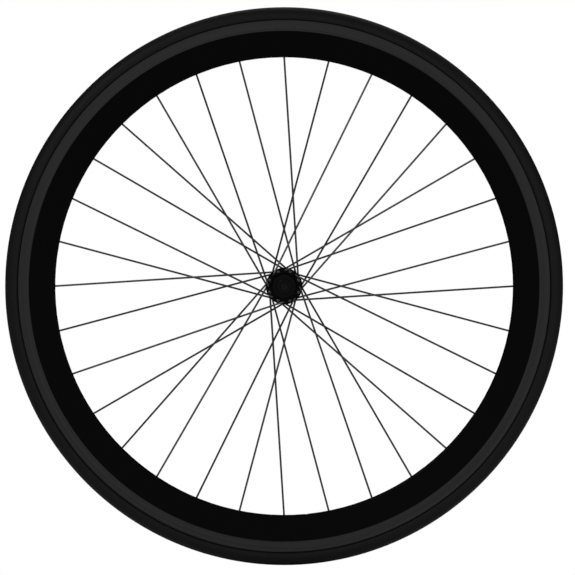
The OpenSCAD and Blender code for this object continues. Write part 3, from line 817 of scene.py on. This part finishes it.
# %% [markdown]
# ## The tyre
# A tyre comes out of a mould as one skin: a round crown with a raised cap of tread, sidewalls with a few
# thin ribs, and a neck that goes down between the rim's hooks. Its section is the whole design, so it is
# drawn once and spun round the axle. The section starts as a circle round the middle of the tyre's air
# space. The lower part of the circle is deleted, and the two open ends are extruded down to the beads. The
# wall's thickness comes last, from a Solidify modifier, once the outside is right.

# %% Model the tyre
SECTION_POINTS = 120
SPIN_STEPS = 216
WALL_T = 1.6 * MM
CAP_STEP = 0.25 * MM
RIB_H = 0.18 * MM
RIB_ANGLES = (math.radians(72), math.radians(78), math.radians(112))
RIB_HALF_ANGLE = math.radians(1.6)
RIM_LIP = 2.3 * MM
tyre_mid_r = tyre_r - tyre_half_w
neck_half_w = rim_half_w - RIM_LIP
side_curve_r = tyre_mid_r - rim_edge_r - 0.3 * MM


def section_angle(place):
    return abs(math.atan2(place.y, place.z - tyre_mid_r))


def set_section_radius(piece, wanted, radius):
    """Moves the section's points for which wanted(angle) is true to a distance from the section's middle."""
    centre = Vector((0, 0, tyre_mid_r))
    for vertex in piece.data.vertices:
        if vertex.co.z > tyre_mid_r - side_curve_r and wanted(section_angle(vertex.co)):
            vertex.co = centre + (vertex.co - centre).normalized() * radius


tyre = start_piece(
    bpy.ops.mesh.primitive_circle_add, "tyre_moulded", vertices=SECTION_POINTS, radius=tyre_half_w,
    location=(0, 0, tyre_mid_r), rotation=(0, math.radians(90), 0)
)
select_vertices(tyre, lambda place: place.z < tyre_mid_r - 0.2 * MM)
bpy.ops.mesh.delete(type="VERT")
bpy.ops.object.mode_set(mode="OBJECT")
set_section_radius(tyre, lambda angle: angle > TREAD_EDGE, tyre_half_w - CAP_STEP)
for rib in RIB_ANGLES:
    set_section_radius(tyre, lambda angle: abs(angle - rib) < RIB_HALF_ANGLE, tyre_half_w - CAP_STEP + RIB_H)
print("the tyre's section has", len(tyre.data.vertices), "points above its middle")

# %% [markdown]
# Below its widest point the sidewall curls in over the rim's edge and goes down to the bead. Both ends do
# this at the same time: each step extrudes the two end points down, and then moves them in or out to the
# right width.

# %% Draw the necks and spin the section
CURL_DEGREES = (11, 22, 33, 45, 56, 67, 78, 88)
BEAD_FOOT_R = 311.05 * MM
BEAD_H = 3.6 * MM
BEAD_OUT = 0.7 * MM
BEAD_IN = 2 * MM
widest = tyre_half_w - CAP_STEP
curl = []
for angle in map(math.radians, CURL_DEGREES):
    curl.append((widest - side_curve_r * (1 - math.cos(angle)), tyre_mid_r - side_curve_r * math.sin(angle)))
neck = [
    (neck_half_w, rim_edge_r - 0.4 * MM),
    (neck_half_w, BEAD_FOOT_R + BEAD_H),
    (neck_half_w + BEAD_OUT, BEAD_FOOT_R + 3 * MM),
    (neck_half_w + BEAD_OUT, BEAD_FOOT_R),
    (neck_half_w - BEAD_IN, BEAD_FOOT_R),
]
lowest = min(v.co.z for v in tyre.data.vertices)
select_vertices(tyre, lambda place: place.z < lowest + 0.01 * MM)
half_w, height = widest, lowest
for next_half_w, next_height in curl + neck:
    extrude((0, 0, next_height - height))
    bpy.ops.transform.resize(value=(1, next_half_w / half_w, 1), center_override=(0, 0, next_height))
    half_w, height = next_half_w, next_height
bpy.ops.mesh.select_all(action="SELECT")
bpy.ops.mesh.spin(steps=SPIN_STEPS, angle=math.tau, center=(0, 0, 0), axis=(0, 1, 0), use_auto_merge=True)
close_piece(tyre, math.radians(40))

# %% [markdown]
# Solidify gives the skin its thickness, on the inner side, and keeps it even round the curves. The new
# piece then stands for the construction's plain tyre.

# %% Give the tyre its wall
wall = tyre.modifiers.new("wall", "SOLIDIFY")
wall.thickness = WALL_T
wall.offset = -1
bpy.ops.object.modifier_apply(modifier=wall.name)
wear_finish(tyre, tyre_black, "wheel", "tyre_rubber", "tyre")
print("the tyre has", len(tyre.data.polygons), "faces, and its box is off by", box_error(tyre, "tyre"), "mm")

# %% [markdown]
# ## A real thread on the axle
# A thread is one groove that climbs a pitch with every turn. The screw operator makes it from a single
# tooth. A circle of four points is a diamond, and without its inner point it is that tooth: root, crest,
# root, one pitch long. The coil has ragged ends, so the rod is cut square with a bisect that fills the cut.

# %% Cut one end of the axle
THREAD_PITCH = 1.0 * MM
THREAD_DEPTH = 0.6 * MM
THREAD_FROM = 49 * MM
THREAD_STEPS = 40
END_EASE = 0.8 * MM
root_r = axle_r - THREAD_DEPTH
thread_turns = round((axle_half_l - THREAD_FROM) / THREAD_PITCH) + 4


def cut_square(at, outwards):
    bpy.ops.mesh.select_all(action="SELECT")
    bpy.ops.mesh.bisect(
        plane_co=(0, at, 0), plane_no=(0, outwards, 0), use_fill=True, clear_outer=True, threshold=0.001 * MM
    )


first_tooth = THREAD_FROM - 2 * THREAD_PITCH
axle = start_piece(
    bpy.ops.mesh.primitive_circle_add, "axle_threaded", vertices=4, radius=THREAD_PITCH / 2,
    location=(root_r, first_tooth, 0)
)
select_vertices(axle, lambda place: place.x < root_r - 0.1 * MM)
bpy.ops.mesh.delete(type="VERT")
bpy.ops.mesh.select_all(action="SELECT")
steepness = 2 * THREAD_DEPTH / THREAD_PITCH
bpy.ops.transform.resize(value=(steepness, 1, 1), center_override=(root_r, first_tooth, 0))
bpy.ops.mesh.screw(steps=THREAD_STEPS, turns=thread_turns, center=(0, 0, 0), axis=(0, 1, 0))
close_piece(axle)
bpy.ops.object.mode_set(mode="EDIT")
cut_square(THREAD_FROM, -1)
cut_square(axle_half_l, 1)
bpy.ops.object.mode_set(mode="OBJECT")
across = [v.co.y / MM for v in axle.data.vertices]
print(f"thread from {min(across):.2f} to {max(across):.2f} mm, with {len(axle.data.polygons)} faces")

# %% [markdown]
# The end of the rod is eased so that a nut finds its start: no point there may lie outside a cone. Inwards,
# the cut is opened and drawn on through the cone. Past it, where nothing shows, the rod is left a hair
# thicker than the bores, because the nuts are bored clear of the thread and light would shine through the
# whole hub beside it.

# %% Ease the end and draw the rod inwards
PLAIN_R = axle_r + 0.2 * MM
SHOULDER_L = 0.5 * MM
plain_half_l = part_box("cone_left")[0].y - 2 * MM


def set_radius(vertex, radius):
    scale = radius / math.hypot(vertex.co.x, vertex.co.z)
    vertex.co.x *= scale
    vertex.co.z *= scale


select_vertices(axle, lambda place: place.y < THREAD_FROM + 0.01 * MM)
bpy.ops.mesh.select_mode(type="FACE")
bpy.ops.mesh.delete(type="ONLY_FACE")
select_vertices(axle, lambda place: place.y < THREAD_FROM + 0.01 * MM)
extrude((0, plain_half_l + SHOULDER_L - THREAD_FROM, 0))
extrude((0, -SHOULDER_L, 0))
bpy.ops.object.mode_set(mode="OBJECT")
for vertex in axle.data.vertices:
    cone_r = axle_r - END_EASE + axle_half_l - vertex.co.y
    if math.hypot(vertex.co.x, vertex.co.z) > cone_r:
        set_radius(vertex, cone_r)
    if vertex.co.y < plain_half_l + 0.01 * MM:
        set_radius(vertex, PLAIN_R)
print("one half of the axle has", len(axle.data.polygons), "faces")

# %% [markdown]
# The other end of the axle is the same piece turned half round, because a mirrored thread would be
# left-handed. A bridge between the two thick ends makes the middle.

# %% Turn a copy round and bridge the two
other_end = axle.copy()
other_end.data = axle.data.copy()
bpy.context.scene.collection.objects.link(other_end)
other_end.data.transform(Matrix.Rotation(math.pi, 4, "Z"))
bpy.ops.object.select_all(action="DESELECT")
other_end.select_set(True)
axle.select_set(True)
bpy.context.view_layer.objects.active = axle
bpy.ops.object.join()
select_vertices(axle, lambda place: abs(place.y) < plain_half_l + 0.01 * MM)
bpy.ops.mesh.select_mode(type="EDGE")
bpy.ops.mesh.bridge_edge_loops()
close_piece(axle)
wear_finish(axle, axle_black, "axle_set", "axle_steel", "axle")
print("the axle's box is off by", box_error(axle, "axle"), "mm")

# %% [markdown]
# ## Floor
# The wheel stands on a plain pale floor, at the height of the tyre's lowest point. It belongs to the scene
# and not to the object, so it is marked as stage. A finish with a faint cloud in it keeps it from looking
# like a cut-out.

# %% Floor
FLOOR_SIZE = 14


def pale_finish():
    material, tree, shader = new_material("pale_floor", specular=0.2)
    grain = place_group(tree, surface_grain, Grain_size=3 * MM, Depth=0.05 * MM, Roughness=0.75, Spread=0.05)
    join(tree, mix_colour(tree, grain.outputs["Cloud"], grey(0.78), grey(0.84)), shader.inputs["Base Color"])
    join(tree, grain.outputs["Roughness"], shader.inputs["Roughness"])
    join(tree, grain.outputs["Normal"], shader.inputs["Normal"])
    return material


bpy.ops.object.select_all(action="DESELECT")
bpy.ops.mesh.primitive_plane_add(size=FLOOR_SIZE, location=(0, 0, -tyre_r))
floor = bpy.context.view_layer.objects.active
floor.name = "floor"
floor.data.materials.append(pale_finish())
floor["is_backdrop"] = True
print("floor at", round(floor.location.z, 4), "m")

# %% [markdown]
# ## The room
# The world is the room round the wheel. It lights everything at a plain level, so that a colour comes out
# about as it was mixed. Where it is seen or mirrored it is white. One number can't do both, so the Light
# Path node tells the two kinds of ray apart.

# %% World
ROOM_LEVEL = 0.6
world = bpy.data.worlds.new("plain_room")
bpy.context.scene.world = world
world.use_nodes = True
room = world.node_tree
background = room.nodes["Background"]
background.inputs["Color"].default_value = (1, 1, 1, 1)
path = add_node(room, "ShaderNodeLightPath")
seen = math_node(room, "MAXIMUM", path.outputs["Is Camera Ray"], path.outputs["Is Glossy Ray"])
seen = math_node(room, "MAXIMUM", seen, path.outputs["Is Transmission Ray"])
join(room, mix_value(room, seen, ROOM_LEVEL, 1.0), background.inputs["Strength"])
print("the room lights at", ROOM_LEVEL, "and is seen at 1")

# %% [markdown]
# ## Soft lights
# Light from all sides alone makes round things look flat. Three large lamps give them a bright side and a
# shaded one: a key from the upper left, a weaker fill from the right, and one from above and behind that
# draws the edges.

# %% Lamps
def soft_light(name, place, size, power):
    data = bpy.data.lights.new(name, "AREA")
    data.shape = "RECTANGLE"
    data.size, data.size_y = size
    data.energy = power
    light = bpy.data.objects.new(name, data)
    bpy.context.scene.collection.objects.link(light)
    light.location = place
    light.rotation_euler = (-Vector(place)).to_track_quat("-Z", "Y").to_euler()
    return light


lamps = [
    soft_light("key", place=(-1.2, -1.5, 1.4), size=(1.2, 0.9), power=22),
    soft_light("fill", place=(1.5, -1.4, 0.4), size=(0.9, 1.2), power=9),
    soft_light("top", place=(0.2, 1.2, 1.6), size=(1.4, 0.8), power=14),
]
print("soft lights:", [lamp.name for lamp in lamps])

# %% [markdown]
# ## Dark flags
# A gloss in a white room is white all over, and the edges of glossy wire would fade into the room. In a
# studio, black cards stand beside the table, out of view, so that each round thing gets a dark line along
# its edges. They are called flags. One dark tunnel round the axle does that here. Only mirrored rays see
# it, so it shades nothing and throws no shadow.

# %% Flags beside the wheel
FLAG_R = 2.2
FLAG_FRONT = -2.6
FLAG_BACK = 6.0
bpy.ops.mesh.primitive_cylinder_add(
    vertices=96, radius=FLAG_R, depth=FLAG_BACK - FLAG_FRONT, end_fill_type="NOTHING",
    location=(0, (FLAG_BACK + FLAG_FRONT) / 2, 0), rotation=(math.radians(90), 0, 0)
)
flags = bpy.context.view_layer.objects.active
flags.name = "dark_flags"
flag_black = bpy.data.materials.new("flag_black")
flag_black.use_nodes = True
flag_tree = flag_black.node_tree
flag_tree.nodes.clear()
glow = add_node(flag_tree, "ShaderNodeEmission", Color=grey(0.02), Strength=1.0)
join(flag_tree, glow.outputs[0], add_node(flag_tree, "ShaderNodeOutputMaterial").inputs["Surface"])
flags.data.materials.append(flag_black)
for ray in ("camera", "diffuse", "transmission", "volume_scatter", "shadow"):
    setattr(flags, "visible_" + ray, False)
flags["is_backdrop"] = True
print("flags stand", FLAG_R, "m from the axle's line")

# %% [markdown]
# ## Camera
# The wheel is shown exactly from its side, with nothing foreshortened, so that circles stay circles and the
# spokes on both sides can be compared. An orthographic camera does that: its size is the width of what it
# takes in.

# %% Camera
VIEW_WIDTH = 0.687
VIEW_CENTRE = (0.00406, -0.00164)
CAMERA_AWAY = 2.0
camera_data = bpy.data.cameras.new("side_view")
camera_data.type = "ORTHO"
camera_data.ortho_scale = VIEW_WIDTH
camera = bpy.data.objects.new("side_view", camera_data)
camera.location = (VIEW_CENTRE[0], -CAMERA_AWAY, VIEW_CENTRE[1])
camera.rotation_euler = (math.radians(90), 0, 0)
bpy.context.scene.collection.objects.link(camera)
bpy.context.scene.camera = camera
bpy.context.scene.view_settings.view_transform = "Standard"
print("the camera takes in", VIEW_WIDTH, "m")

# %% [markdown]
# A finish must not change the size of the thing. Both boxes are written side by side, and their sizes are
# printed.

# %% Print both boxes
visual_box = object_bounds()
for title, (low, high) in (("construction", cad_box), ("finished", visual_box)):
    print(title, [round((b - a) / MM, 2) for a, b in zip(low, high)], "mm")
